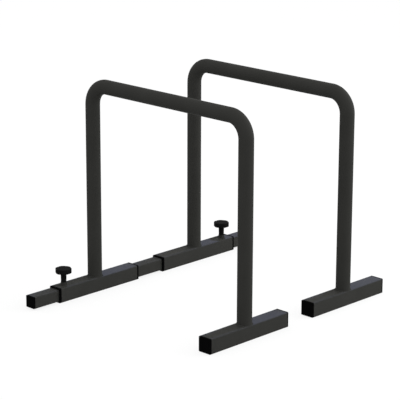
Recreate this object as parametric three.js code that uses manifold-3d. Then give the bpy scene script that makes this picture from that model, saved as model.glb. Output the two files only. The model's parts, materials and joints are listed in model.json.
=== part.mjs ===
// Dip station: two bent-pipe handle frames that slide on one crossbar and are clamped there by knobs.
// Millimetres, +Z up, +X along the crossbar to the right, +Y to the rear where the crossbar lies.
// The origin is on the floor, midway between the handles and midway between the front and rear legs.
import * as THREE from 'three';
import { mergeVertices } from 'three/addons/utils/BufferGeometryUtils.js';
import Module from 'manifold-3d';

const wasm = await Module();
wasm.setup();

// Layout of the stand, as photographed
const overallHeight = 725;
const legSpacing = 680;
const handleSpacing = 472;

// Clearances
const slideClearance = 0.3;
const seatClearance = 0.3;
const weldClearance = 0.3;
const cutOverrun = 2;

// Crossbar, a square tube
const crossbarSize = 40;
const crossbarWall = 2;
const crossbarCorner = 3;
const crossbarTubeLength = 1032;

// Feet and sleeves, cut from one square tube that clears the bar by the bushing
const bushingWall = 2.4;
const footWall = 2;
const footCorner = 3.5;
const footSize = crossbarSize + 2 * (slideClearance + bushingWall + seatClearance + footWall);
const footTubeLength = 344;
const sleeveTubeLength = 342;
const leastCorner = 0.5;

// Handle pipe
const pipeDiameter = 48;
const pipeWall = 2;
const pipeBendRadius = 66;

// Plastic end caps, each a flange with a ribbed hollow plug
const capFlange = 5;
const capEdge = 1.2;
const capPlugLength = 20;
const capPlugWall = 2;
const capRibHeight = 0.8;
const capRibWidth = 2;
const capRibCount = 3;

// Plastic bushings in the sleeve ends, each a flange with a lining that guides the bar
const bushingFlange = 7;
const bushingEdge = 1;
const bushingLining = 20;

// Clamp screw, its weld nut and its pad, which stays in the nut's bore when the screw is backed off
const screwDiameter = 12;
const screwHoleClearance = 0.5;
const screwChamfer = 1;
const screwLand = 5.5;
const screwNoseDiameter = 6;
const nutWall = 3.5;
const nutSides = 6;
const nutHeight = 10;
const nutChamfer = 0.8;
const padClearance = 0.6;
const padFloor = 2;
const padSocketDepth = 3;

// Knob, a lobed head on a long tapering neck; its height is taken from the top of the sleeve
const knobHeight = 57.3;
const knobHeadHeight = 15.8;
const knobEdge = 1.5;
const knobLobeCount = 6;
const knobLobeRadius = 18.4;
const knobLobeOffset = 8.8;
const knobHollowRadius = 8;
const knobNeckWall = 3.1;
const knobNeckTaper = 0.6;
const knobNeckGap = 0.8;
const knobFlareHeight = 4;
const knobFlareWidth = 7.3;
const knobCrown = 12;
const knobTurn = THREE.MathUtils.degToRad(1);

// Weld beads
const weldLeg = 3.2;
const weldLip = 0.7;
const nutWeldLeg = 2.4;

// Smoothness, in segments
const cornerSegments = 2;
const plugCornerSegments = 1;
const pipeSides = 32;
const pipeBoreSides = 16;
const bendSteps = 8;
const turnedSides = 24;
const lobeSegments = 2;
const knobEdgeSegments = 2;

// Places worked out from the sizes above
const legOffset = legSpacing / 2;
const handleOffset = handleSpacing / 2;
const pipeRadius = pipeDiameter / 2;
const footInner = footSize - 2 * footWall;
const screwRadius = screwDiameter / 2;
const screwHoleRadius = screwRadius + screwHoleClearance;
const screwInset = bushingLining + screwHoleRadius + screwLand;
const screwOffset = sleeveTubeLength / 2 - screwInset;
const nutBoreRadius = screwRadius + seatClearance;
const nutAcrossFlats = screwDiameter + 2 * nutWall;
const nutCornerRadius = nutAcrossFlats / 2 / Math.cos(Math.PI / nutSides);

// Heights on the clamp screw's axis, from the top of the sleeve
const barTop = (crossbarSize - footSize) / 2;
const padBottom = barTop + slideClearance;
const padTop = padBottom + padFloor + padSocketDepth;
const screwShoulder = padTop + seatClearance;
const neckBottom = nutHeight + knobNeckGap;
const boreTop = knobHeight - knobCrown;

// Materials
const charcoal = 0x37373a;
const capBlack = 0x0b0b0b;
const knobBlack = 0x1b1b1c;
const steelGrey = 0x9a9c9e;
const nylonWhite = 0xd9d7cf;

function paint() {
  return new THREE.MeshStandardMaterial({ color: charcoal, roughness: 0.55, metalness: 0.2 });
}

function plastic(color) {
  return new THREE.MeshStandardMaterial({ color, roughness: 0.5, metalness: 0 });
}

function steel() {
  return new THREE.MeshStandardMaterial({ color: steelGrey, roughness: 0.35, metalness: 1 });
}

// Closed solids for joining and cutting
function toSolid(geometry) {
  const bare = geometry.clone();
  bare.deleteAttribute('normal');
  bare.deleteAttribute('uv');
  const merged = mergeVertices(bare);
  return new wasm.Manifold(
    new wasm.Mesh({
      numProp: 3,
      vertProperties: new Float32Array(merged.attributes.position.array),
      triVerts: new Uint32Array(merged.index.array),
    })
  );
}

function toGeometry(solid) {
  const mesh = solid.getMesh();
  const geometry = new THREE.BufferGeometry();
  geometry.setAttribute('position', new THREE.BufferAttribute(new Float32Array(mesh.vertProperties), 3));
  geometry.setIndex(new THREE.BufferAttribute(new Uint32Array(mesh.triVerts), 1));
  geometry.computeVertexNormals();
  return geometry;
}

function piece(name, geometry, material, x, y, z) {
  const mesh = new THREE.Mesh(geometry, material);
  mesh.name = name;
  mesh.position.set(x, y, z);
  return mesh;
}

// A square with rounded corners, centred on its own middle
function squareOutline(size, corner, Outline = THREE.Shape) {
  const half = size / 2;
  const inner = half - corner;
  const outline = new Outline();
  outline.moveTo(half, -inner);
  outline.lineTo(half, inner);
  outline.absarc(inner, inner, corner, 0, Math.PI / 2, false);
  outline.lineTo(-inner, half);
  outline.absarc(-inner, inner, corner, Math.PI / 2, Math.PI, false);
  outline.lineTo(-half, -inner);
  outline.absarc(-inner, -inner, corner, Math.PI, 1.5 * Math.PI, false);
  outline.lineTo(inner, -half);
  outline.absarc(inner, -inner, corner, 1.5 * Math.PI, 2 * Math.PI, false);
  return outline;
}

function innerCorner(corner, wall) {
  return Math.max(corner - wall, leastCorner);
}

function squareRing(size, corner, boreSize, boreCorner) {
  const outline = squareOutline(size, corner);
  outline.holes.push(squareOutline(boreSize, boreCorner, THREE.Path));
  return outline;
}

// Lays an outline's own X and Y along Y and Z, so that what is extruded from it runs along X
const layAlongX = new THREE.Matrix4().makeBasis(
  new THREE.Vector3(0, 1, 0),
  new THREE.Vector3(0, 0, 1),
  new THREE.Vector3(1, 0, 0)
);

// A bar along X with the given outline, from its start
function alongX(outline, start, length, segments = cornerSegments) {
  const geometry = new THREE.ExtrudeGeometry(outline, {
    depth: length,
    bevelEnabled: false,
    curveSegments: segments,
  });
  geometry.applyMatrix4(layAlongX);
  geometry.translate(start, 0, 0);
  return geometry;
}

function squareTube(size, corner, wall, length) {
  const ring = squareRing(size, corner, size - 2 * wall, innerCorner(corner, wall));
  return alongX(ring, -length / 2, length);
}

// A square plate from X zero to its thickness, with the edge of its far face chamfered
function edgedPlate(size, corner, thickness, edge) {
  const plate = new THREE.ExtrudeGeometry(squareOutline(size, corner), {
    depth: thickness,
    bevelThickness: edge,
    bevelSize: edge,
    bevelOffset: -edge,
    bevelSegments: 1,
    curveSegments: cornerSegments,
  });
  plate.applyMatrix4(layAlongX);
  plate.translate(-edge, 0, 0);
  const wasteLength = 2 * edge + cutOverrun;
  const waste = alongX(squareOutline(size + 2 * cutOverrun, corner), -wasteLength, wasteLength);
  return toSolid(plate).subtract(toSolid(waste));
}

// End cap: its flange lies at X above zero, its plug below
function endCap(tubeSize, tubeCorner, tubeWall) {
  const ribSize = tubeSize - 2 * tubeWall - 2 * seatClearance;
  const ribCorner = innerCorner(tubeCorner, tubeWall);
  const plugSize = ribSize - 2 * capRibHeight;
  const hollowSize = plugSize - 2 * capPlugWall;
  const plug = squareRing(plugSize, ribCorner, hollowSize, leastCorner);
  const plugBar = alongX(plug, -capPlugLength, capPlugLength + capFlange / 2, plugCornerSegments);
  let solid = edgedPlate(tubeSize, tubeCorner, capFlange, capEdge).add(toSolid(plugBar));
  const rib = squareRing(ribSize, ribCorner, plugSize - capPlugWall, leastCorner);
  const ribPitch = capPlugLength / capRibCount;
  for (let i = 0; i < capRibCount; i += 1) {
    const start = -capPlugLength + i * ribPitch + (ribPitch - capRibWidth) / 2;
    solid = solid.add(toSolid(alongX(rib, start, capRibWidth, plugCornerSegments)));
  }
  return toGeometry(solid);
}

// Sleeve bushing: its flange lies at X above zero, its lining below
function bushing() {
  const boreSize = crossbarSize + 2 * slideClearance;
  const boreCorner = crossbarCorner + slideClearance;
  const liningSize = footInner - 2 * seatClearance;
  const liningCorner = innerCorner(footCorner, footWall);
  const lining = squareOutline(liningSize, liningCorner);
  const liningBar = alongX(lining, -bushingLining, bushingLining + bushingFlange / 2);
  const bore = squareOutline(boreSize, boreCorner);
  const boreBar = alongX(bore, -bushingLining - cutOverrun, bushingLining + bushingFlange + 2 * cutOverrun);
  const flange = edgedPlate(footSize, footCorner, bushingFlange, bushingEdge);
  return toGeometry(flange.add(toSolid(liningBar)).subtract(toSolid(boreBar)));
}

// A shape turned about the Z axis, from pairs of radius and height that run up its outside
function turned(profile, sides = turnedSides) {
  const points = profile.map(([radius, height]) => new THREE.Vector2(radius, height));
  const geometry = new THREE.LatheGeometry(points, sides);
  geometry.rotateX(Math.PI / 2);
  return geometry;
}

function rod(radius, bottom, top) {
  return turned([
    [0, bottom],
    [radius, bottom],
    [radius, top],
    [0, top],
  ]);
}

// The bent pipe's middle line: a station at each end of the straight runs and a row of them round each bend
class HandlePath extends THREE.Curve {
  constructor(bottom, top, reach, bendRadius, steps) {
    super();
    const quarter = Math.PI / 2;
    this.stations = [{ y: -reach, z: bottom, slope: quarter }];
    for (const [side, first] of [[-1, quarter], [1, 0]]) {
      for (let i = 0; i <= steps; i += 1) {
        const slope = first - quarter * (i / steps);
        const y = side * (reach - bendRadius) - bendRadius * Math.sin(slope);
        const z = top - bendRadius + bendRadius * Math.cos(slope);
        this.stations.push({ y, z, slope });
      }
    }
    this.stations.push({ y: reach, z: bottom, slope: -quarter });
  }

  station(share) {
    return this.stations[Math.round(share * (this.stations.length - 1))];
  }

  getPoint(share, target = new THREE.Vector3()) {
    const { y, z } = this.station(share);
    return target.set(0, y, z);
  }

  getTangent(share, target = new THREE.Vector3()) {
    const { slope } = this.station(share);
    return target.set(0, Math.cos(slope), Math.sin(slope));
  }

  // The stations are taken one by one, however far apart they lie
  getUtoTmapping(share) {
    return share;
  }
}

function circle(radius, sides, Outline) {
  const outline = new Outline();
  outline.moveTo(radius, 0);
  for (let i = 1; i < sides; i += 1) {
    const angle = (2 * Math.PI * i) / sides;
    outline.lineTo(radius * Math.cos(angle), radius * Math.sin(angle));
  }
  outline.closePath();
  return outline;
}

function handle() {
  const path = new HandlePath(footSize, overallHeight - pipeRadius, legOffset, pipeBendRadius, bendSteps);
  const ring = circle(pipeRadius, pipeSides, THREE.Shape);
  ring.holes.push(circle(pipeRadius - pipeWall, pipeBoreSides, THREE.Path));
  return new THREE.ExtrudeGeometry(ring, { steps: path.stations.length - 1, extrudePath: path });
}

// Fillet bead round a leg where it stands on its foot, kept within the width of the foot
function legWeld() {
  const innerRadius = pipeRadius + weldClearance;
  const outerRadius = innerRadius + weldLeg;
  const base = footSize - footCorner;
  const bead = turned(
    [
      [innerRadius, base],
      [outerRadius, base],
      [outerRadius, footSize + weldLeg / 4],
      [innerRadius + weldLeg / 4, footSize + weldLeg],
      [innerRadius, footSize + weldLeg],
      [innerRadius, base],
    ],
    pipeSides
  );
  const reach = outerRadius + cutOverrun;
  const footOutline = squareOutline(footSize + 2 * weldClearance, footCorner + weldClearance);
  const foot = alongX(footOutline, -reach, 2 * reach);
  foot.translate(0, 0, footSize / 2);
  const slabOutline = squareOutline(2 * (innerRadius + weldLip), leastCorner);
  const slab = alongX(slabOutline, -reach, 2 * reach);
  slab.translate(0, 0, footSize);
  return toGeometry(toSolid(bead).intersect(toSolid(slab)).subtract(toSolid(foot)));
}

// Sleeve with the hole that the clamp screw passes through
function sleeve(side) {
  const tube = squareTube(footSize, footCorner, footWall, sleeveTubeLength);
  const hole = rod(screwHoleRadius, footSize / 2 - footWall - cutOverrun, footSize / 2 + cutOverrun);
  hole.translate(side * screwOffset, 0, 0);
  return toGeometry(toSolid(tube).subtract(toSolid(hole)));
}

function upright(outline, bottom, height) {
  const geometry = new THREE.ExtrudeGeometry(outline, { depth: height, bevelEnabled: false });
  geometry.translate(0, 0, bottom);
  return geometry;
}

// Weld nut with the corners of its top face chamfered
function nut() {
  const prism = upright(circle(nutCornerRadius, nutSides, THREE.Shape), 0, nutHeight);
  const blank = turned([
    [0, -cutOverrun],
    [nutCornerRadius + cutOverrun, -cutOverrun],
    [nutCornerRadius + cutOverrun, nutHeight - nutChamfer],
    [nutCornerRadius, nutHeight - nutChamfer],
    [nutAcrossFlats / 2, nutHeight],
    [0, nutHeight],
  ]);
  const bore = rod(nutBoreRadius, -cutOverrun, nutHeight + cutOverrun);
  return toGeometry(toSolid(prism).intersect(toSolid(blank)).subtract(toSolid(bore)));
}

function nutWeld() {
  const innerRadius = nutCornerRadius + weldClearance;
  const bead = turned([
    [0, 0],
    [innerRadius + nutWeldLeg, 0],
    [innerRadius + nutWeldLeg, nutWeldLeg / 4],
    [innerRadius + nutWeldLeg / 4, nutWeldLeg],
    [0, nutWeldLeg],
  ]);
  const opening = circle(innerRadius, nutSides, THREE.Shape);
  const cut = upright(opening, -cutOverrun, nutWeldLeg + 2 * cutOverrun);
  return toGeometry(toSolid(bead).subtract(toSolid(cut)));
}

// Clamp screw: its nose turns in the pad's socket, its top is held in the knob
function screw() {
  const noseRadius = screwNoseDiameter / 2;
  const top = boreTop - seatClearance;
  return turned([
    [0, screwShoulder - padSocketDepth],
    [noseRadius, screwShoulder - padSocketDepth],
    [noseRadius, screwShoulder],
    [screwRadius - screwChamfer, screwShoulder],
    [screwRadius, screwShoulder + screwChamfer],
    [screwRadius, top - screwChamfer],
    [screwRadius - screwChamfer, top],
    [0, top],
  ]);
}

function pad() {
  const radius = nutBoreRadius - padClearance;
  const socketRadius = screwNoseDiameter / 2 + seatClearance;
  return turned([
    [0, padBottom],
    [radius, padBottom],
    [radius, padTop],
    [socketRadius, padTop],
    [socketRadius, padTop - padSocketDepth],
    [0, padTop - padSocketDepth],
  ]);
}

// Lobes joined by hollows that meet them without a corner
function lobedOutline() {
  const half = Math.PI / knobLobeCount;
  const reach = knobLobeRadius + knobHollowRadius;
  const across = knobLobeOffset * Math.sin(half);
  const hollowOffset = knobLobeOffset * Math.cos(half) + Math.sqrt(reach * reach - across * across);
  const lean = Math.asin(across / reach);
  const outline = new THREE.Shape();
  for (let i = 0; i < knobLobeCount; i += 1) {
    const lobe = 2 * half * i;
    const lobeX = knobLobeOffset * Math.cos(lobe);
    const lobeY = knobLobeOffset * Math.sin(lobe);
    outline.absarc(lobeX, lobeY, knobLobeRadius, lobe - half - lean, lobe + half + lean, false);
    const hollow = lobe + half;
    const hollowX = hollowOffset * Math.cos(hollow);
    const hollowY = hollowOffset * Math.sin(hollow);
    const inward = hollow + Math.PI;
    outline.absarc(hollowX, hollowY, knobHollowRadius, inward + lean, inward - lean, true);
  }
  return outline;
}

function knobGrip() {
  const headBottom = knobHeight - knobHeadHeight;
  const head = new THREE.ExtrudeGeometry(lobedOutline(), {
    depth: knobHeadHeight - 2 * knobEdge,
    bevelThickness: knobEdge,
    bevelSize: knobEdge,
    bevelOffset: -knobEdge,
    bevelSegments: knobEdgeSegments,
    curveSegments: lobeSegments,
  });
  head.translate(0, 0, headBottom + knobEdge);
  const neckRadius = screwRadius + knobNeckWall;
  const flareRadius = neckRadius + knobNeckTaper + knobFlareWidth;
  const body = turned([
    [0, neckBottom],
    [neckRadius, neckBottom],
    [neckRadius + knobNeckTaper, headBottom - knobFlareHeight],
    [flareRadius, headBottom + knobEdge / 4],
    [flareRadius, headBottom + knobEdge],
    [0, headBottom + knobEdge],
  ]);
  const bore = rod(screwRadius + seatClearance, neckBottom - cutOverrun, boreTop);
  return toGeometry(toSolid(head).add(toSolid(body)).subtract(toSolid(bore)));
}

// Sets one plastic piece into each end of a tube along X; sides gives each name its end
function addToEnds(group, geometry, halfLength, y, z, sides) {
  for (const [name, side] of Object.entries(sides)) {
    const mesh = piece(name, geometry, plastic(capBlack), side * halfLength, y, z);
    mesh.rotation.z = side < 0 ? Math.PI : 0;
    group.add(mesh);
  }
}

// The crossbar and its two end caps
function crossbar() {
  const group = new THREE.Group();
  group.position.set(0, legOffset, footSize / 2);
  const tube = squareTube(crossbarSize, crossbarCorner, crossbarWall, crossbarTubeLength);
  group.add(piece('crossbar_tube', tube, paint(), 0, 0, 0));
  const cap = endCap(crossbarSize, crossbarCorner, crossbarWall);
  addToEnds(group, cap, crossbarTubeLength / 2, 0, 0, { crossbar_cap_left: -1, crossbar_cap_right: 1 });
  return group;
}

// The clamp that holds one sleeve to the crossbar
function clamp(prefix, side) {
  const group = new THREE.Group();
  group.position.set(side * screwOffset, legOffset, footSize);
  group.add(piece(`${prefix}_clamp_nut`, nut(), paint(), 0, 0, 0));
  group.add(piece(`${prefix}_nut_weld`, nutWeld(), paint(), 0, 0, 0));
  group.add(piece(`${prefix}_thrust_pad`, pad(), plastic(nylonWhite), 0, 0, 0));
  group.add(piece(`${prefix}_knob_screw`, screw(), steel(), 0, 0, 0));
  const grip = piece(`${prefix}_knob_grip`, knobGrip(), plastic(knobBlack), 0, 0, 0);
  grip.rotation.z = -side * knobTurn;
  group.add(grip);
  return group;
}

// One handle with its foot, its sleeve and its clamp
function handleFrame(prefix, side) {
  const group = new THREE.Group();
  group.position.x = side * handleOffset;
  group.add(piece(`${prefix}_handle_frame`, handle(), paint(), 0, 0, 0));
  group.add(piece(`${prefix}_front_weld`, legWeld(), paint(), 0, -legOffset, 0));
  group.add(piece(`${prefix}_rear_weld`, legWeld(), paint(), 0, legOffset, 0));
  const foot = squareTube(footSize, footCorner, footWall, footTubeLength);
  group.add(piece(`${prefix}_front_foot`, foot, paint(), 0, -legOffset, footSize / 2));
  addToEnds(group, endCap(footSize, footCorner, footWall), footTubeLength / 2, -legOffset, footSize / 2, {
    [`${prefix}_foot_cap_outer`]: side,
    [`${prefix}_foot_cap_inner`]: -side,
  });
  group.add(piece(`${prefix}_rear_sleeve`, sleeve(side), paint(), 0, legOffset, footSize / 2));
  addToEnds(group, bushing(), sleeveTubeLength / 2, legOffset, footSize / 2, {
    [`${prefix}_sleeve_bushing_outer`]: side,
    [`${prefix}_sleeve_bushing_inner`]: -side,
  });
  group.add(clamp(prefix, side));
  return group;
}

const group = new THREE.Group();
group.add(crossbar());
group.add(handleFrame('left', -1));
group.add(handleFrame('right', 1));

export default group;
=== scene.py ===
import json
import math

import bmesh
import bpy
from mathutils import Matrix, Vector

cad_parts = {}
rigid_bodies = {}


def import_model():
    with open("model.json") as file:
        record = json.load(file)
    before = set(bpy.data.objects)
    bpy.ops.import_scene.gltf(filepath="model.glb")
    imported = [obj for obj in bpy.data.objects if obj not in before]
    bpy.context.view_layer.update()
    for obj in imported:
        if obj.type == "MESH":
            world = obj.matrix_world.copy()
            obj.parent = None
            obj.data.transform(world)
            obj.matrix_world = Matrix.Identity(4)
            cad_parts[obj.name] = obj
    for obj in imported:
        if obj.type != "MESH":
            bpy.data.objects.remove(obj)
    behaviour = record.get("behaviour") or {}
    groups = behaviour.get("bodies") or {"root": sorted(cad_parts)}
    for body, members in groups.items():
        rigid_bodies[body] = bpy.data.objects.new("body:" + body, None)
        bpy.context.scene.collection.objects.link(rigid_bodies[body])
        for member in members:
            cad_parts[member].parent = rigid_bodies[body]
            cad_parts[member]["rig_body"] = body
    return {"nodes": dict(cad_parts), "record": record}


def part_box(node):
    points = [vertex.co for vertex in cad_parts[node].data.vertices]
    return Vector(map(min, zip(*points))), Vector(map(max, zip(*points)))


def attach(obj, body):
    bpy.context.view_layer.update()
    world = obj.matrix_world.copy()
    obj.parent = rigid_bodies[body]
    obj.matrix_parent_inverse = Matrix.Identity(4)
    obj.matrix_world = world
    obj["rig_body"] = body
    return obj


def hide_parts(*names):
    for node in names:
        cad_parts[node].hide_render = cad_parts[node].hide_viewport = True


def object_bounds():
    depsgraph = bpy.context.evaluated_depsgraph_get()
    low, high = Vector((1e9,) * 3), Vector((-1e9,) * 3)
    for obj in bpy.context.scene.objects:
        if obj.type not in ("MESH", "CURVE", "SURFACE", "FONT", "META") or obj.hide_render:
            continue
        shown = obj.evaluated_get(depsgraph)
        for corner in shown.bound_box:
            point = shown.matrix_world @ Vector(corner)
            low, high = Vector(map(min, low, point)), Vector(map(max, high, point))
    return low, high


# The dip station's looks: two bent-pipe handles on square feet, joined by a bar that knobs clamp.
# Metres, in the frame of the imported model: +Z up, +X along the crossbar to the right, +Y to the rear.
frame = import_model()
cad_low, cad_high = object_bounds()

SIDES = {"left": -1, "right": 1}

# Square tubes
FOOT_WALL = 0.002
FOOT_CORNER = 0.0035
BAR_WALL = 0.002
BAR_CORNER = 0.003
LEAST_CORNER = 0.0005
CUT_EDGE = 0.0004
SCREW_HOLE_RADIUS = 0.0065
SCREW_HOLE_CUT = 3 * FOOT_WALL

# Handle pipe
PIPE_WALL = 0.002
BEND_RADIUS = 0.066

# End caps and sleeve bushings
SEAT_CLEARANCE = 0.0003
CAP_FLANGE = 0.005
CAP_EDGE = 0.0009
CAP_DOME = 0.0003
CAP_RIM_WIDTH = 0.0032
CAP_RIM_STEP = 0.0003
CAP_RIM_ROUND_SHARE = 0.25
CAP_DOME_SHARES = (0.02, 0.35, 0.7, 1)
CAP_PLUG_WALL = 0.002
CAP_RIB_HEIGHT = 0.0008
CAP_RIB_WIDTH = 0.002
CAP_RIB_COUNT = 3
BUSHING_FLANGE = 0.007
BUSHING_EDGE = 0.0008
SLIDE_CLEARANCE = 0.0003

# Weld beads
FUSION = 0.0002
LEG_BEAD = 0.0032
LEG_BEAD_LIP = 0.0008
NUT_BEAD = 0.0024
BEAD_ROUNDNESS = 1.4
BEAD_STEPS = 8
BEAD_JOIN = 30
LEG_BEAD_SIDE_SHARE = 0.55
# Waves in a bead's height: how many go round it, their phase and their share of the height
BEAD_WAVES = ((5, 1, 0.06), (11, 0, 0.04))
RIPPLE_PITCH = 0.0026
RIPPLE_HEIGHT = 0.00024
RIPPLE_LEAN = 0.7
RIPPLE_STEPS = 6

# Weld nut, clamp screw and pad
NUT_SHARPNESS = 26
NUT_STEPS = 168
NUT_CHAMFER = 0.0011
NUT_CUT_SHARE = 0.25
NUT_BORE_RADIUS = 0.0063
SCREW_PITCH = 0.00175
SCREW_THREAD_DEPTH = 0.0010
SCREW_SHOULDER = 0.003
SCREW_NOSE_RADIUS = 0.003
SCREW_SIDES = 40
SCREW_ROWS_PER_TURN = 8
SCREW_RUN_OUT = 0.0012
SCREW_FLANK_STEEPNESS = 2.4
PAD_EDGE = 0.0005
PAD_SOCKET_RADIUS = 0.0033
PAD_SOCKET_DEPTH = 0.003

# Knob
KNOB_LOBES = 6
KNOB_LOBE_RADIUS = 0.0181
KNOB_LOBE_OFFSET = 0.0088
KNOB_HOLLOW_RADIUS = 0.008
KNOB_HEAD_HEIGHT = 0.0158
KNOB_EDGE = 0.0014
KNOB_CROWN = 0.0005
KNOB_NECK_RADIUS = 0.0091
KNOB_NECK_TAPER = 0.0006
KNOB_NECK_EDGE = 0.0006
KNOB_FLARE_HEIGHT = 0.0045
KNOB_FLARE_RADIUS = 0.017
KNOB_BORE_RADIUS = 0.0063
KNOB_BORE_TOP = 0.012
KNOB_TURN = math.radians(1)
KNOB_DISH_RADIUS = 0.0085
KNOB_DISH_DEPTH = 0.0005
KNOB_CROWN_SHARES = (0.9, 0.75, 0.6)
KNOB_DISH_RIM_SHARE = 0.2
# The dish's section, as shares of its radius and depth
KNOB_DISH_SHARES = ((1, 0), (0.94, 0.75), (0.85, 1), (0.45, 1), (0.05, 1))

# Smoothness
CORNER_STEPS = 8
EDGE_STEPS = 4
PIPE_SIDES = 96
BEND_STEPS = 28
ROUND_SIDES = 72
LOBE_STEPS = 14
SHARP_ANGLE = math.radians(50)
CENTRE_SHARE = 0.125


def place(name, verts, faces):
    """A smooth-shaded mesh object with its faces turned outward and its hard edges marked."""
    mesh = bpy.data.meshes.new(name)
    mesh.from_pydata(verts, [], faces)
    work = bmesh.new()
    work.from_mesh(mesh)
    bmesh.ops.recalc_face_normals(work, faces=work.faces)
    for face in work.faces:
        face.smooth = True
    for edge in work.edges:
        edge.smooth = edge.calc_face_angle(0) < SHARP_ANGLE
    work.to_mesh(mesh)
    work.free()
    obj = bpy.data.objects.new(name, mesh)
    bpy.context.scene.collection.objects.link(obj)
    weigh = obj.modifiers.new("Flat faces stay flat", "WEIGHTED_NORMAL")
    weigh.keep_sharp = True
    return obj


def loft(name, rings, closes):
    """Joins rings of points. The last ring meets the first, or else each end closes on a middle point."""
    count = len(rings[0])
    verts = [point for ring in rings for point in ring]
    faces = []
    for i in range(len(rings) if closes else len(rings) - 1):
        near = i * count
        far = (i + 1) % len(rings) * count
        for j in range(count):
            k = (j + 1) % count
            faces.append((near + j, near + k, far + k, far + j))
    if not closes:
        for ring in (0, len(rings) - 1):
            verts.append(sum(rings[ring], Vector()) / count)
            pole = len(verts) - 1
            faces += [(ring * count + j, ring * count + (j + 1) % count, pole) for j in range(count)]
    return place(name, verts, faces)


def arc(radius, start, stop, steps):
    """Points on a circle, from one angle to another."""
    angles = [start + (stop - start) * i / steps for i in range(steps + 1)]
    return [(radius * math.cos(a), radius * math.sin(a)) for a in angles]


def circle(radius, sides):
    """The corners of a regular polygon that stands for a circle."""
    return arc(radius, 0, 2 * math.pi * (1 - 1 / sides), sides - 1)


def rounded_square(half, corner):
    """The outline of a square with round corners, about its middle."""
    points = []
    middle = half - corner
    for quarter in range(4):
        turn = Matrix.Rotation(quarter * math.pi / 2, 3, "Z")
        for across, up in arc(corner, 0, math.pi / 2, CORNER_STEPS):
            point = Vector((middle + across, middle + up, 0))
            point.rotate(turn)
            points.append(point)
    return points


def square_piece(name, axis, profile, closes):
    """A piece with square sections along X. Each step of its profile is (x, half size, corner radius)."""
    rings = []
    for x, half, corner in profile:
        outline = rounded_square(half, max(corner, LEAST_CORNER / 2))
        rings.append([Vector((x, axis.y + p.x, axis.z + p.y)) for p in outline])
    return loft(name, rings, closes)


def round_piece(name, axis, profile):
    """A piece turned about a vertical axis. Each step of its profile is (radius, z)."""
    rings = []
    for radius, z in profile:
        rings.append([Vector((axis.x + u, axis.y + v, z)) for u, v in circle(radius, ROUND_SIDES)])
    return loft(name, rings, False)


def middle_of(node):
    low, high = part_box(node)
    return (low + high) / 2


def rounded_end(x, outward, half, corner, edge):
    """Steps of a square profile round an outer edge, from the side to the end face at x."""
    steps = []
    for back, inset in arc(edge, math.pi / 2, 0, EDGE_STEPS):
        steps.append((x - outward * (edge - back), half - edge + inset, corner - edge + inset))
    return steps


def square_tube(node, corner, wall):
    """A square tube with rounded corners and slightly rounded cut ends."""
    low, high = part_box(node)
    half = (high.z - low.z) / 2
    bore = half - wall
    bore_corner = max(corner - wall, LEAST_CORNER)
    profile = rounded_end(high.x, 1, half, corner, CUT_EDGE)
    profile += [(high.x, bore, bore_corner), (low.x, bore, bore_corner)]
    profile += reversed(rounded_end(low.x, -1, half, corner, CUT_EDGE))
    return square_piece(f"{node}_visual", middle_of(node), profile, True)


def end_cap(node, outward, tube_corner, tube_wall):
    """A moulded cap: a plate with a rim round a faintly domed middle, and a hollow ribbed plug."""
    low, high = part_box(node)
    half = (high.z - low.z) / 2
    face = high.x if outward > 0 else low.x
    seat = face - outward * CAP_FLANGE
    plug_end = low.x if outward > 0 else high.x
    rib = half - tube_wall - SEAT_CLEARANCE
    plug = rib - CAP_RIB_HEIGHT
    hollow = plug - CAP_PLUG_WALL
    plug_corner = max(tube_corner - tube_wall, LEAST_CORNER)
    profile = []
    for share in CAP_DOME_SHARES:
        rise = CAP_DOME * (1 - share * share)
        size = (half - CAP_RIM_WIDTH) * share
        profile.append((face - outward * (CAP_RIM_STEP + CAP_DOME - rise), size, tube_corner * share))
    rim = half - CAP_RIM_WIDTH + CAP_RIM_STEP
    profile.append((face - outward * CAP_RIM_STEP * CAP_RIM_ROUND_SHARE, rim, tube_corner))
    profile.append((face, rim + CAP_RIM_STEP, tube_corner))
    profile += reversed(rounded_end(face, outward, half, tube_corner, CAP_EDGE))
    profile.append((seat, half, tube_corner))
    profile.append((seat, plug, plug_corner))
    pitch = abs(plug_end - seat) / CAP_RIB_COUNT
    for i in range(CAP_RIB_COUNT):
        start = (i + 0.5) * pitch - CAP_RIB_WIDTH / 2
        stop = start + CAP_RIB_WIDTH
        for depth, size in ((start, plug), (start, rib), (stop, rib), (stop, plug)):
            profile.append((seat - outward * depth, size, plug_corner))
    profile.append((plug_end, plug, plug_corner))
    profile.append((plug_end, hollow, plug_corner))
    profile.append((seat, hollow, plug_corner))
    return square_piece(f"{node}_visual", middle_of(node), profile, False)


def bushing(node, outward, bar_half):
    """A moulded collar with rounded edges and the lining behind it that guides the bar."""
    low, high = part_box(node)
    half = (high.z - low.z) / 2
    face = high.x if outward > 0 else low.x
    seat = face - outward * BUSHING_FLANGE
    lining_end = low.x if outward > 0 else high.x
    lining = half - FOOT_WALL - SEAT_CLEARANCE
    bore = bar_half + SLIDE_CLEARANCE
    bore_corner = BAR_CORNER + SLIDE_CLEARANCE
    profile = list(reversed(rounded_end(face, outward, half, FOOT_CORNER, BUSHING_EDGE)))
    profile.append((seat, half, FOOT_CORNER))
    profile.append((seat, lining, FOOT_CORNER - FOOT_WALL))
    profile.append((lining_end, lining, FOOT_CORNER - FOOT_WALL))
    profile.append((lining_end, bore, bore_corner))
    lead_in = BUSHING_EDGE / 2
    for back, inset in arc(lead_in, math.pi / 2, 0, EDGE_STEPS):
        wider = lead_in - inset
        profile.append((face - outward * (lead_in - back), bore + wider, bore_corner + wider))
    return square_piece(f"{node}_visual", middle_of(node), profile, True)


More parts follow.
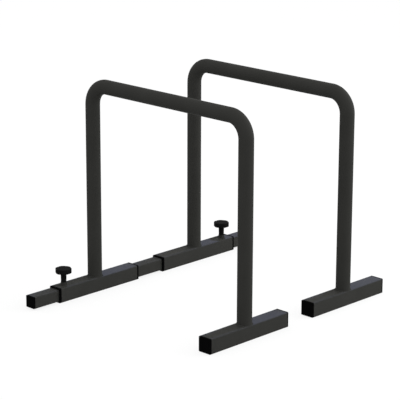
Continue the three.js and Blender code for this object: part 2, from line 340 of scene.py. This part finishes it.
def cut_hole(obj, centre, radius, depth):
    """Cuts a round vertical hole in obj."""
    bpy.ops.mesh.primitive_cylinder_add(vertices=ROUND_SIDES, radius=radius, depth=depth, location=centre)
    drill = bpy.context.object
    cut = obj.modifiers.new("Hole", "BOOLEAN")
    cut.object = drill
    cut.solver = "EXACT"
    bpy.context.view_layer.update()
    seen = obj.evaluated_get(bpy.context.evaluated_depsgraph_get())
    drilled = bpy.data.meshes.new_from_object(seen)
    obj.modifiers.remove(cut)
    obj.data = drilled
    bpy.data.objects.remove(drill)


def pipe_stations(low, high, radius):
    """Places along the bent pipe's middle line in the plane of the handle: (y, z, slope)."""
    reach = high.y - radius
    top = high.z - radius
    quarter = math.pi / 2
    stations = [(-reach, low.z, quarter)]
    for side, first in ((-1, quarter), (1, 0)):
        for i in range(BEND_STEPS + 1):
            slope = first - quarter * i / BEND_STEPS
            y = side * (reach - BEND_RADIUS) - BEND_RADIUS * math.sin(slope)
            z = top - BEND_RADIUS + BEND_RADIUS * math.cos(slope)
            stations.append((y, z, slope))
    stations.append((reach, low.z, -quarter))
    return stations


def handle(node):
    """The bent pipe: its outside along the middle line, and its bore back along it."""
    low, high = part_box(node)
    radius = (high.x - low.x) / 2
    middle = (low.x + high.x) / 2
    stations = pipe_stations(low, high, radius)
    rings = []
    for size, run in ((radius, stations), (radius - PIPE_WALL, stations[::-1])):
        for y, z, slope in run:
            up = Vector((0, -math.sin(slope), math.cos(slope)))
            rings.append([Vector((middle + u, y, z)) + v * up for u, v in circle(size, PIPE_SIDES)])
    return loft(f"{node}_visual", rings, True)


def bead(name, axis, inner, outer, surface, rise):
    """A rippled weld bead round an axis.

    At an angle, inner and outer give its radii and rise its height. surface gives the z that it lies on.
    """
    ripples = round(2 * math.pi * outer(0) / RIPPLE_PITCH)
    sides = ripples * RIPPLE_STEPS
    rings = []
    for i in range(sides):
        angle = 2 * math.pi * i / sides
        u, v = math.cos(angle), math.sin(angle)
        near = inner(angle) - FUSION
        far = outer(angle)
        waves = sum(share * math.sin(count * angle + phase) for count, phase, share in BEAD_WAVES)
        height = rise(angle) * (1 + waves)
        ring = []
        for j in range(BEAD_STEPS + 1):
            lean = math.pi / 2 * (1 - j / BEAD_STEPS)
            out = math.cos(lean) ** BEAD_ROUNDNESS
            up = math.sin(lean) ** BEAD_ROUNDNESS
            crescent = ripples * angle - RIPPLE_LEAN * math.pi * math.sin(2 * lean)
            swell = RIPPLE_HEIGHT * math.sin(2 * lean) * math.cos(crescent)
            radius = near + (far - near) * out + swell * out
            base = surface(radius * v)
            ring.append(Vector((axis.x + radius * u, axis.y + radius * v, base + height * up + swell * up)))
        ring[-1].z -= FUSION
        ring.append(Vector((axis.x + near * u, axis.y + near * v, surface(near * v) - FUSION)))
        rings.append(ring)
    return loft(name, rings, True)


def leg_weld(node, foot_top, pipe_radius, foot_half):
    """The bead round a leg on its square tube. Across the tube it shrinks and follows the rounded edges."""
    flat = foot_half - FOOT_CORNER
    lip = pipe_radius + LEG_BEAD_LIP

    def surface(y):
        past = min(max(abs(y) - flat, 0), FOOT_CORNER)
        return foot_top - FOOT_CORNER + math.sqrt(FOOT_CORNER**2 - past**2)

    def outer(angle):
        wide = (pipe_radius + LEG_BEAD) ** -BEAD_JOIN
        return (wide + (abs(math.sin(angle)) / lip) ** BEAD_JOIN) ** (-1 / BEAD_JOIN)

    def rise(angle):
        return LEG_BEAD * (LEG_BEAD_SIDE_SHARE + (1 - LEG_BEAD_SIDE_SHARE) * math.cos(angle) ** 2)

    axis = middle_of(node)
    return bead(f"{node}_visual", axis, lambda angle: pipe_radius, outer, surface, rise)


def hexagon(angle, across_flats):
    """The radius of a hexagon with rounded corners, by a power mean of its three pairs of sides."""
    sides = (abs(math.cos(angle - math.pi / 6 - i * math.pi / 3)) for i in range(3))
    return across_flats / 2 / sum(s**NUT_SHARPNESS for s in sides) ** (1 / NUT_SHARPNESS)


def nut(node):
    """A weld nut, its top corners cut back by the usual shallow cone."""
    low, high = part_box(node)
    axis = middle_of(node)
    across_flats = high.y - low.y
    cut = NUT_CHAMFER * NUT_CUT_SHARE
    depth = (high.x - low.x - across_flats) / 2 + cut
    heights = [low.z, high.z - NUT_CHAMFER]
    heights += [high.z - NUT_CHAMFER * (1 - i / EDGE_STEPS) for i in range(1, EDGE_STEPS + 1)]
    rings = []
    for z in heights:
        cone = across_flats / 2 - cut + depth * (high.z - z) / NUT_CHAMFER
        ring = []
        for i in range(NUT_STEPS):
            angle = 2 * math.pi * i / NUT_STEPS
            radius = min(hexagon(angle, across_flats), cone)
            ring.append(Vector((axis.x + radius * math.cos(angle), axis.y + radius * math.sin(angle), z)))
        rings.append(ring)
    bore = circle(NUT_BORE_RADIUS, NUT_STEPS)
    for z in (high.z, low.z):
        rings.append([Vector((axis.x + u, axis.y + v, z)) for u, v in bore])
    return loft(f"{node}_visual", rings, True)


def nut_weld(node, across_flats):
    low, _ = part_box(node)

    def inner(angle):
        return hexagon(angle, across_flats)

    def outer(angle):
        return hexagon(angle, across_flats) + NUT_BEAD

    return bead(f"{node}_visual", middle_of(node), inner, outer, lambda y: low.z, lambda angle: NUT_BEAD)


def screw(node):
    """The clamp screw: a plain nose below, and a right-hand thread up to its top inside the knob."""
    low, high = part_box(node)
    axis = middle_of(node)
    radius = (high.x - low.x) / 2
    shoulder = low.z + SCREW_SHOULDER
    rings = []

    def add_ring(size, z):
        ring = []
        for i, (u, v) in enumerate(circle(1, SCREW_SIDES)):
            ring.append(Vector((axis.x + size(i) * u, axis.y + size(i) * v, z)))
        rings.append(ring)

    for z in (low.z, shoulder):
        add_ring(lambda i: SCREW_NOSE_RADIUS, z)
    rows = round((high.z - shoulder) / SCREW_PITCH * SCREW_ROWS_PER_TURN)
    for row in range(rows + 1):
        z = shoulder + (high.z - shoulder) * row / rows
        run_out = min(z - shoulder, high.z - z, SCREW_RUN_OUT) / SCREW_RUN_OUT

        def thread(i):
            phase = (z / SCREW_PITCH - i / SCREW_SIDES) % 1
            crest = min(1, SCREW_FLANK_STEEPNESS * (1 - abs(2 * phase - 1)))
            return radius - SCREW_THREAD_DEPTH * (1 - crest * run_out)

        add_ring(thread, z)
    return loft(f"{node}_visual", rings, False)


def pad(node):
    """The thrust pad, with a socket for the screw's nose."""
    low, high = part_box(node)
    radius = (high.x - low.x) / 2
    floor = high.z - PAD_SOCKET_DEPTH
    side = radius - PAD_EDGE
    profile = [(radius * CENTRE_SHARE, low.z)]
    profile += [(side + u, low.z + PAD_EDGE + v) for u, v in arc(PAD_EDGE, -math.pi / 2, 0, EDGE_STEPS)]
    profile += [(side + u, high.z - PAD_EDGE + v) for u, v in arc(PAD_EDGE, 0, math.pi / 2, EDGE_STEPS)]
    profile.append((PAD_SOCKET_RADIUS, high.z))
    profile.append((PAD_SOCKET_RADIUS, floor))
    profile.append((PAD_SOCKET_RADIUS * CENTRE_SHARE, floor))
    return round_piece(f"{node}_visual", middle_of(node), profile)


def lobed_outline(inset, turn):
    """Lobes joined by hollows that meet them without a corner, drawn in by an inset."""
    half = math.pi / KNOB_LOBES
    reach = KNOB_LOBE_RADIUS + KNOB_HOLLOW_RADIUS
    across = KNOB_LOBE_OFFSET * math.sin(half)
    hollow_offset = KNOB_LOBE_OFFSET * math.cos(half) + math.sqrt(reach**2 - across**2)
    lean = math.asin(across / reach)
    points = []
    for i in range(KNOB_LOBES):
        lobe = 2 * half * i + turn
        middle = Vector((math.cos(lobe), math.sin(lobe), 0)) * KNOB_LOBE_OFFSET
        spread = half + lean
        lobe_arc = arc(KNOB_LOBE_RADIUS - inset, lobe - spread, lobe + spread, LOBE_STEPS)
        points += [middle + Vector((u, v, 0)) for u, v in lobe_arc]
        hollow = lobe + half
        middle = Vector((math.cos(hollow), math.sin(hollow), 0)) * hollow_offset
        inward = hollow + math.pi
        hollow_arc = arc(KNOB_HOLLOW_RADIUS + inset, inward + lean, inward - lean, LOBE_STEPS // 2)
        points += [middle + Vector((u, v, 0)) for u, v in hollow_arc[1:-1]]
    return points


def knob_grip(node, turn):
    """A lobed head that flares out of a long tapering neck; the screw is held in the neck's bore."""
    low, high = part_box(node)
    axis = middle_of(node)
    directions = [p.normalized() for p in lobed_outline(KNOB_EDGE, turn)]
    head_bottom = high.z - KNOB_HEAD_HEIGHT
    rings = []

    def add_round(radius, z):
        rings.append([Vector((axis.x + radius * d.x, axis.y + radius * d.y, z)) for d in directions])

    def add_lobed(inset, z, share=1):
        outline = lobed_outline(inset, turn)
        rings.append([Vector((axis.x + share * p.x, axis.y + share * p.y, z)) for p in outline])

    bore_top = high.z - KNOB_BORE_TOP
    add_round(KNOB_BORE_RADIUS * CENTRE_SHARE, bore_top)
    add_round(KNOB_BORE_RADIUS, bore_top)
    add_round(KNOB_BORE_RADIUS, low.z)
    for u, v in arc(KNOB_NECK_EDGE, -math.pi / 2, 0, EDGE_STEPS):
        add_round(KNOB_NECK_RADIUS - KNOB_NECK_EDGE + u, low.z + KNOB_NECK_EDGE + v)
    flare_bottom = head_bottom - KNOB_FLARE_HEIGHT
    neck_top = KNOB_NECK_RADIUS + KNOB_NECK_TAPER
    for i in range(1, EDGE_STEPS + 1):
        share = i / EDGE_STEPS
        add_round(KNOB_NECK_RADIUS + KNOB_NECK_TAPER * share, low.z + (flare_bottom - low.z) * share)
    flare_width = KNOB_FLARE_RADIUS - neck_top
    for out, up in arc(1, 0, math.pi / 2, 2 * EDGE_STEPS)[1:]:
        add_round(neck_top + flare_width * (1 - out), flare_bottom + KNOB_FLARE_HEIGHT * up)
    for back, drop in arc(KNOB_EDGE, -math.pi / 2, 0, 2 * EDGE_STEPS):
        add_lobed(KNOB_EDGE - back, head_bottom + KNOB_EDGE + drop)
    for back, lift in arc(KNOB_EDGE, 0, math.pi / 2, 2 * EDGE_STEPS):
        add_lobed(KNOB_EDGE - back, high.z - KNOB_CROWN - KNOB_EDGE + lift)
    for share in KNOB_CROWN_SHARES:
        add_lobed(KNOB_EDGE, high.z - KNOB_CROWN * share**2, share)
    dish_rim = high.z - KNOB_CROWN * KNOB_DISH_RIM_SHARE
    for radius, depth in KNOB_DISH_SHARES:
        add_round(KNOB_DISH_RADIUS * radius, dish_rim - KNOB_DISH_DEPTH * depth)
    return loft(f"{node}_visual", rings, False)


# Finishes
TONE_START = 0.35
TONE_STOP = 0.65
ROUGHNESS_FINENESS = 3
COAT_IOR = 1.08
COAT_DARK_SHARES = (0.92, 0.92, 0.845)
COAT_LIGHT_SHARES = (1.08, 1.08, 1.005)
# The square tubes carry the pipes' paint set a shade darker: painted shade that offsets the extra light the
# cool window light gives only them.
TUBE_COAT_SHADED_LEVEL = 0.035
PIPE_COAT_LEVEL = 0.0378


class NodeTree:
    """Short ways to build a shader's nodes."""

    def __init__(self, tree):
        self.tree = tree
        tree.nodes.clear()

    def add(self, kind, **values):
        node = self.tree.nodes.new(kind)
        for name, value in values.items():
            setattr(node, name, value)
        return node

    def link(self, source, target):
        self.tree.links.new(source, target)

    def object_coordinates(self):
        return self.add("ShaderNodeTexCoord").outputs["Object"]

    def noise(self, coordinates, scale, detail=2.0):
        node = self.add("ShaderNodeTexNoise")
        node.inputs["Scale"].default_value = scale
        node.inputs["Detail"].default_value = detail
        self.link(coordinates, node.inputs["Vector"])
        return node.outputs["Fac"]

    def mean(self, first, second):
        total = self.add("ShaderNodeMath", operation="ADD")
        self.link(first, total.inputs[0])
        self.link(second, total.inputs[1])
        half = self.add("ShaderNodeMath", operation="MULTIPLY")
        half.inputs[1].default_value = 0.5
        self.link(total.outputs[0], half.inputs[0])
        return half.outputs[0]

    def spread(self, value, low, high, start=0.3, stop=0.7):
        node = self.add("ShaderNodeMapRange")
        for name, number in (("From Min", start), ("From Max", stop), ("To Min", low), ("To Max", high)):
            node.inputs[name].default_value = number
        self.link(value, node.inputs["Value"])
        return node.outputs["Result"]

    def blend(self, share, first, second):
        node = self.add("ShaderNodeMix", data_type="RGBA")
        for socket in node.inputs:
            if socket.identifier == "A_Color":
                socket.default_value = (*first, 1)
            if socket.identifier == "B_Color":
                socket.default_value = (*second, 1)
            if socket.identifier == "Factor_Float":
                self.link(share, socket)
        return next(s for s in node.outputs if s.identifier == "Result_Color")

    def bump(self, height, distance, under=None):
        node = self.add("ShaderNodeBump")
        node.inputs["Distance"].default_value = distance
        self.link(height, node.inputs["Height"])
        if under is not None:
            self.link(under, node.inputs["Normal"])
        return node.outputs["Normal"]


def surface_material(name, dark, light, roughness, metallic, ior, grain, cells):
    """A finish with clouded colour and roughness. grain lists its bumps: cells a metre, and depth."""
    material = bpy.data.materials.new(name)
    material.use_nodes = True
    nodes = NodeTree(material.node_tree)
    shader = nodes.add("ShaderNodeBsdfPrincipled")
    output = nodes.add("ShaderNodeOutputMaterial")
    nodes.link(shader.outputs["BSDF"], output.inputs["Surface"])
    shader.inputs["Metallic"].default_value = metallic
    shader.inputs["IOR"].default_value = ior
    where = nodes.object_coordinates()
    clouds = nodes.noise(where, cells, detail=4)
    specks = nodes.noise(where, grain[-1][0], detail=1)
    tone = nodes.spread(nodes.mean(clouds, specks), 0, 1, TONE_START, TONE_STOP)
    nodes.link(nodes.blend(tone, dark, light), shader.inputs["Base Color"])
    low, high = roughness
    patches = nodes.noise(where, cells * ROUGHNESS_FINENESS)
    nodes.link(nodes.spread(patches, low, high), shader.inputs["Roughness"])
    normal = None
    for scale, depth in grain:
        normal = nodes.bump(nodes.noise(where, scale), depth, under=normal)
    nodes.link(normal, shader.inputs["Normal"])
    return material


def powder_coat(name, level):
    return surface_material(
        name,
        dark=[level * share for share in COAT_DARK_SHARES],
        light=[level * share for share in COAT_LIGHT_SHARES],
        roughness=(0.5, 0.6),
        metallic=0,
        ior=COAT_IOR,
        grain=((420, 0.00006), (1400, 0.00006)),
        cells=11,
    )


def black_plastic():
    return surface_material(
        "Black plastic",
        dark=(0.0018, 0.0018, 0.0018),
        light=(0.0027, 0.0027, 0.0028),
        roughness=(0.55, 0.7),
        metallic=0,
        ior=1.05,
        grain=((260, 0.00003), (1900, 0.00004)),
        cells=60,
    )


def knob_plastic():
    return surface_material(
        "Knob plastic",
        dark=(0.0079, 0.0079, 0.008),
        light=(0.0099, 0.0099, 0.01),
        roughness=(0.5, 0.62),
        metallic=0,
        ior=1.05,
        grain=((300, 0.00003), (2100, 0.00003)),
        cells=70,
    )


def zinc_plate():
    return surface_material(
        "Zinc plate",
        dark=(0.52, 0.53, 0.54),
        light=(0.66, 0.67, 0.68),
        roughness=(0.25, 0.42),
        metallic=1,
        ior=1.5,
        grain=((900, 0.00002), (3000, 0.00001)),
        cells=150,
    )


def pad_nylon():
    return surface_material(
        "Pad nylon",
        dark=(0.62, 0.6, 0.54),
        light=(0.72, 0.7, 0.64),
        roughness=(0.4, 0.55),
        metallic=0,
        ior=1.5,
        grain=((800, 0.00002), (2500, 0.00001)),
        cells=200,
    )


# The square tubes' powder coat is the pipes' paint darkened by painted shade, for the cool window light
# that reaches only them.
MATERIALS = {
    "painted_steel": powder_coat("Powder coat", TUBE_COAT_SHADED_LEVEL),
    "black_plastic": black_plastic(),
    "knob_plastic": knob_plastic(),
    "zinc_screw": zinc_plate(),
    "pad_nylon": pad_nylon(),
}
PIPE_MATERIAL = powder_coat("Powder coat on the pipes", PIPE_COAT_LEVEL)
SLOT_OF_NODE = {part["node"]: part["material_slot"] for part in frame["record"]["subparts"]}


def dress(obj, node, material=None):
    """Gives a piece its node's finish and body, and hides the node that the piece stands in for."""
    slot = SLOT_OF_NODE[node]
    obj.data.materials.clear()
    obj.data.materials.append(material or MATERIALS[slot])
    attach(obj, frame["nodes"][node]["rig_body"])
    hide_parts(node)
    return obj


def build_crossbar():
    """The crossbar and its caps. Returns its tube."""
    bar = dress(square_tube("crossbar_tube", BAR_CORNER, BAR_WALL), "crossbar_tube")
    for name, side in SIDES.items():
        node = f"crossbar_cap_{name}"
        dress(end_cap(node, side, BAR_CORNER, BAR_WALL), node)
    return bar


def build_frame(name, side):
    """One handle with its foot, its sleeve and their plastic pieces. Returns its two square tubes."""
    pipe = f"{name}_handle_frame"
    foot = f"{name}_front_foot"
    sleeve = f"{name}_rear_sleeve"
    pipe_low, pipe_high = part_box(pipe)
    foot_low, foot_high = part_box(foot)
    pipe_radius = (pipe_high.x - pipe_low.x) / 2
    foot_half = (foot_high.z - foot_low.z) / 2
    dress(handle(pipe), pipe, PIPE_MATERIAL)
    foot_tube = dress(square_tube(foot, FOOT_CORNER, FOOT_WALL), foot)
    for node in (f"{name}_front_weld", f"{name}_rear_weld"):
        dress(leg_weld(node, foot_high.z, pipe_radius, foot_half), node)
    bar_low, bar_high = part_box("crossbar_tube")
    for end, outward in (("outer", side), ("inner", -side)):
        cap = f"{name}_foot_cap_{end}"
        dress(end_cap(cap, outward, FOOT_CORNER, FOOT_WALL), cap)
        collar = f"{name}_sleeve_bushing_{end}"
        dress(bushing(collar, outward, (bar_high.z - bar_low.z) / 2), collar)
    sleeve_tube = square_tube(sleeve, FOOT_CORNER, FOOT_WALL)
    hole = middle_of(f"{name}_knob_screw")
    hole.z = foot_high.z
    cut_hole(sleeve_tube, hole, SCREW_HOLE_RADIUS, SCREW_HOLE_CUT)
    dress(sleeve_tube, sleeve)
    return foot_tube, sleeve_tube


def build_clamp(name, side):
    """The weld nut, the screw with its pad, and the knob on it."""
    nut_low, nut_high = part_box(f"{name}_clamp_nut")
    dress(nut(f"{name}_clamp_nut"), f"{name}_clamp_nut")
    dress(nut_weld(f"{name}_nut_weld", nut_high.y - nut_low.y), f"{name}_nut_weld")
    dress(screw(f"{name}_knob_screw"), f"{name}_knob_screw")
    dress(pad(f"{name}_thrust_pad"), f"{name}_thrust_pad")
    dress(knob_grip(f"{name}_knob_grip", -side * KNOB_TURN), f"{name}_knob_grip")


# Stage: camera, floor and light, with angles in degrees
CAMERA_PLACE = Vector((-4.22697, -4.02220, 1.98866))
CAMERA_AZIMUTH = -45.844
CAMERA_ELEVATION = 15.858
CAMERA_ROLL = -0.184
CAMERA_LENS = 167.559
FLOOR_SIZE = 60
FLOOR_DROP = 0.0003
FLOOR_SHADOW_SHARE = 0.18
FLOOR_COLOR = 0.43
WORLD_LEVEL = 0.96
WHITE = (1, 1, 1, 1)
LAMP_AIM = Vector((0, 0, 0.3))
LAMP_DISTANCE = 3.0
SIDE_LAMP = {"azimuth": 60, "elevation": 22, "width": 3.4, "height": 2.3, "power": 53, "color": (1, 1, 1)}
SUN = {"azimuth": 91.5, "elevation": 66.5, "spread": 6, "level": 4.9, "color": (0.47, 0.54, 1)}


def direction_from(azimuth, elevation):
    """The way to a lamp or the camera, in degrees. Azimuth 0 is in front, 90 on the right."""
    turn = math.radians(azimuth)
    lift = math.radians(elevation)
    return Vector((math.sin(turn) * math.cos(lift), -math.cos(turn) * math.cos(lift), math.sin(lift)))


def make_camera():
    back = direction_from(CAMERA_AZIMUTH, CAMERA_ELEVATION)
    right = (-back).cross(Vector((0, 0, 1))).normalized()
    right.rotate(Matrix.Rotation(math.radians(-CAMERA_ROLL), 3, back))
    up = back.cross(right)
    camera = bpy.data.objects.new("Camera", bpy.data.cameras.new("Camera"))
    camera.data.lens = CAMERA_LENS
    camera.data.clip_end = FLOOR_SIZE
    camera.matrix_world = Matrix.Translation(CAMERA_PLACE) @ Matrix((right, up, back)).transposed().to_4x4()
    bpy.context.scene.collection.objects.link(camera)
    bpy.context.scene.camera = camera


def background_rays(nodes):
    """One where a ray comes from the camera, a gloss or a glass, and zero where it gathers light."""
    path = nodes.add("ShaderNodeLightPath")
    total = path.outputs["Is Camera Ray"]
    for name in ("Is Glossy Ray", "Is Transmission Ray"):
        most = nodes.add("ShaderNodeMath", operation="MAXIMUM")
        nodes.link(total, most.inputs[0])
        nodes.link(path.outputs[name], most.inputs[1])
        total = most.outputs[0]
    return total


def make_world():
    """An even white light from all round, and a pure white background where it is seen."""
    world = bpy.data.worlds.new("Studio")
    bpy.context.scene.world = world
    world.use_nodes = True
    nodes = NodeTree(world.node_tree)
    studio = nodes.add("ShaderNodeBackground")
    studio.inputs["Strength"].default_value = WORLD_LEVEL
    studio.inputs["Color"].default_value = WHITE
    white = nodes.add("ShaderNodeBackground")
    white.inputs["Color"].default_value = WHITE
    mix = nodes.add("ShaderNodeMixShader")
    output = nodes.add("ShaderNodeOutputWorld")
    nodes.link(background_rays(nodes), mix.inputs[0])
    nodes.link(studio.outputs[0], mix.inputs[1])
    nodes.link(white.outputs[0], mix.inputs[2])
    nodes.link(mix.outputs[0], output.inputs["Surface"])


def make_lamp(name, azimuth, elevation, width, height, power, color):
    """A softbox aimed at the stand, hidden from the camera."""
    data = bpy.data.lights.new(name, "AREA")
    data.shape = "RECTANGLE"
    data.size = width
    data.size_y = height
    data.energy = power
    data.color = color
    out = direction_from(azimuth, elevation)
    lamp = bpy.data.objects.new(name, data)
    lamp.location = LAMP_AIM + LAMP_DISTANCE * out
    lamp.rotation_euler = out.to_track_quat("Z", "Y").to_euler()
    lamp.visible_camera = False
    bpy.context.scene.collection.objects.link(lamp)


def make_sun(name, azimuth, elevation, spread, level, color):
    data = bpy.data.lights.new(name, "SUN")
    data.energy = level
    data.angle = math.radians(spread)
    data.color = color
    lamp = bpy.data.objects.new(name, data)
    lamp.rotation_euler = direction_from(azimuth, elevation).to_track_quat("Z", "Y").to_euler()
    bpy.context.scene.collection.objects.link(lamp)
    return lamp


def light_only(lamp, pieces):
    """Limits what a lamp lights to the given pieces; every piece still casts a shadow in it."""
    lit = bpy.data.collections.new(f"Lit by {lamp.name}")
    for obj in pieces:
        lit.objects.link(obj)
    lamp.light_linking.receiver_collection = lit


def make_floor():
    """A plain ground for the light it throws back. Where it is seen it is white, with a faint shadow."""
    bpy.ops.mesh.primitive_plane_add(size=FLOOR_SIZE, location=(0, 0, cad_low.z - FLOOR_DROP))
    floor = bpy.context.object
    floor.name = "Floor"
    material = bpy.data.materials.new("Floor")
    material.use_nodes = True
    nodes = NodeTree(material.node_tree)
    plain = nodes.add("ShaderNodeBsdfDiffuse")
    plain.inputs["Color"].default_value = (FLOOR_COLOR,) * 3 + (1,)
    shadowed = nodes.add("ShaderNodeBsdfDiffuse")
    shadowed.inputs["Color"].default_value = (FLOOR_SHADOW_SHARE,) * 3 + (1,)
    glow = nodes.add("ShaderNodeEmission")
    glow.inputs["Strength"].default_value = 1 - FLOOR_SHADOW_SHARE * WORLD_LEVEL
    both = nodes.add("ShaderNodeAddShader")
    mix = nodes.add("ShaderNodeMixShader")
    output = nodes.add("ShaderNodeOutputMaterial")
    nodes.link(shadowed.outputs[0], both.inputs[0])
    nodes.link(glow.outputs[0], both.inputs[1])
    nodes.link(background_rays(nodes), mix.inputs[0])
    nodes.link(plain.outputs[0], mix.inputs[1])
    nodes.link(both.outputs[0], mix.inputs[2])
    nodes.link(mix.outputs[0], output.inputs["Surface"])
    floor.data.materials.append(material)


make_camera()
square_tubes = [build_crossbar()]
for side_name, side_sign in SIDES.items():
    square_tubes += build_frame(side_name, side_sign)
    build_clamp(side_name, side_sign)
make_world()
make_lamp("Side softbox", **SIDE_LAMP)
light_only(make_sun("Cool window light", **SUN), square_tubes)
make_floor()
bpy.context.scene.view_settings.view_transform = "Standard"
